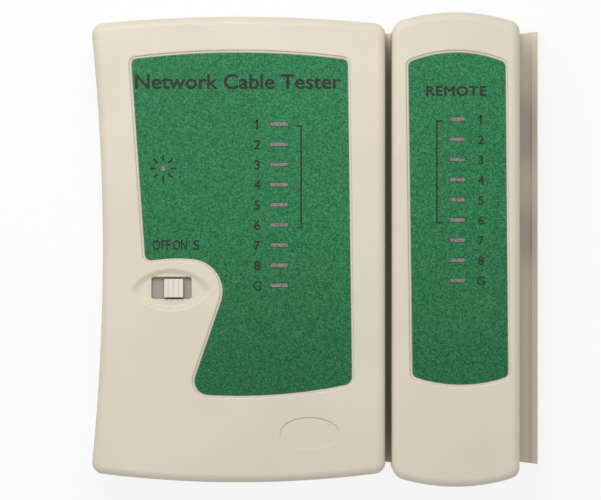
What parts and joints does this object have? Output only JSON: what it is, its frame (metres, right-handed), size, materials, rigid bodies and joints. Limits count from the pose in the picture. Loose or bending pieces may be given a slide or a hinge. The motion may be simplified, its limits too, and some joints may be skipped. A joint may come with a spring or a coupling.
{
  "type": "network cable tester",
  "caption": "Pocket network cable tester: battery-powered main unit and a remote unit that slides off along a side rail, each with network and telephone sockets and a lamp column.",
  "frame": {"origin": "centre of the footprint of the docked pair, on the surface that its rear faces lie on", "axes": "+Z out of the labelled front faces, +Y towards the top of the labels, +X from the main unit to the remote"},
  "size_m": [0.1, 0.106, 0.0262],
  "materials": {
    "case": "cream ABS with a fine moulded texture",
    "label": "grained green overlay film",
    "board": "green solder mask",
    "lamp": "clouded lens, unlit",
    "jack": "black moulded socket",
    "gold": "gold-plated spring wire",
    "plated_metal": "tin-plated sheet",
    "knob": "cream moulded knob",
    "battery_case": "printed steel jacket",
    "black_plastic": "black moulding",
    "wire": "insulated wire",
    "foam": "dark foam pad",
    "screw": "zinc-plated steel",
    "resistor": "lacquered body",
    "capacitor": "sleeved can",
    "diode": "glass body"
  },
  "bodies": {
    "main": {"main_front_shell": "case", "main_rear_shell": "case", "main_label": "label", "main_pcb": "board", "main_led_1": "lamp", "main_led_2": "lamp", "main_led_3": "lamp", "main_led_4": "lamp", "main_led_5": "lamp", "main_led_6": "lamp", "main_led_7": "lamp", "main_led_8": "lamp", "main_led_g": "lamp", "power_led": "lamp", "main_rj45_jack": "jack", "main_rj45_contacts": "gold", "main_rj11_jack": "jack", "main_rj11_contacts": "gold", "switch_body": "plated_metal", "battery": "battery_case", "battery_snap": "black_plastic", "battery_leads": "wire", "battery_pad": "foam", "main_screws": "screw", "counter_chip": "black_plastic", "timer_chip": "black_plastic", "main_resistors": "resistor", "main_capacitors": "capacitor"},
    "knob": {"switch_knob": "knob"},
    "door": {"battery_door": "case"},
    "remote": {"remote_front_shell": "case", "remote_rear_shell": "case", "remote_label": "label", "remote_pcb": "board", "remote_led_1": "lamp", "remote_led_2": "lamp", "remote_led_3": "lamp", "remote_led_4": "lamp", "remote_led_5": "lamp", "remote_led_6": "lamp", "remote_led_7": "lamp", "remote_led_8": "lamp", "remote_led_g": "lamp", "remote_rj45_jack": "jack", "remote_rj45_contacts": "gold", "remote_rj11_jack": "jack", "remote_rj11_contacts": "gold", "remote_screws": "screw", "remote_diodes": "diode"}
  },
  "joints": [
    {"name": "remote_slide", "type": "slide", "parent": "main", "child": "remote", "axis": [0, 1, 0], "range_m": [0, 0.1]},
    {"name": "switch_slide", "type": "slide", "parent": "main", "child": "knob", "axis": [1, 0, 0], "range_m": [-0.0017, 0.0017]},
    {"name": "door_slide", "type": "slide", "parent": "main", "child": "door", "axis": [0, -1, 0], "range_m": [0, 0.036]}
  ]
}
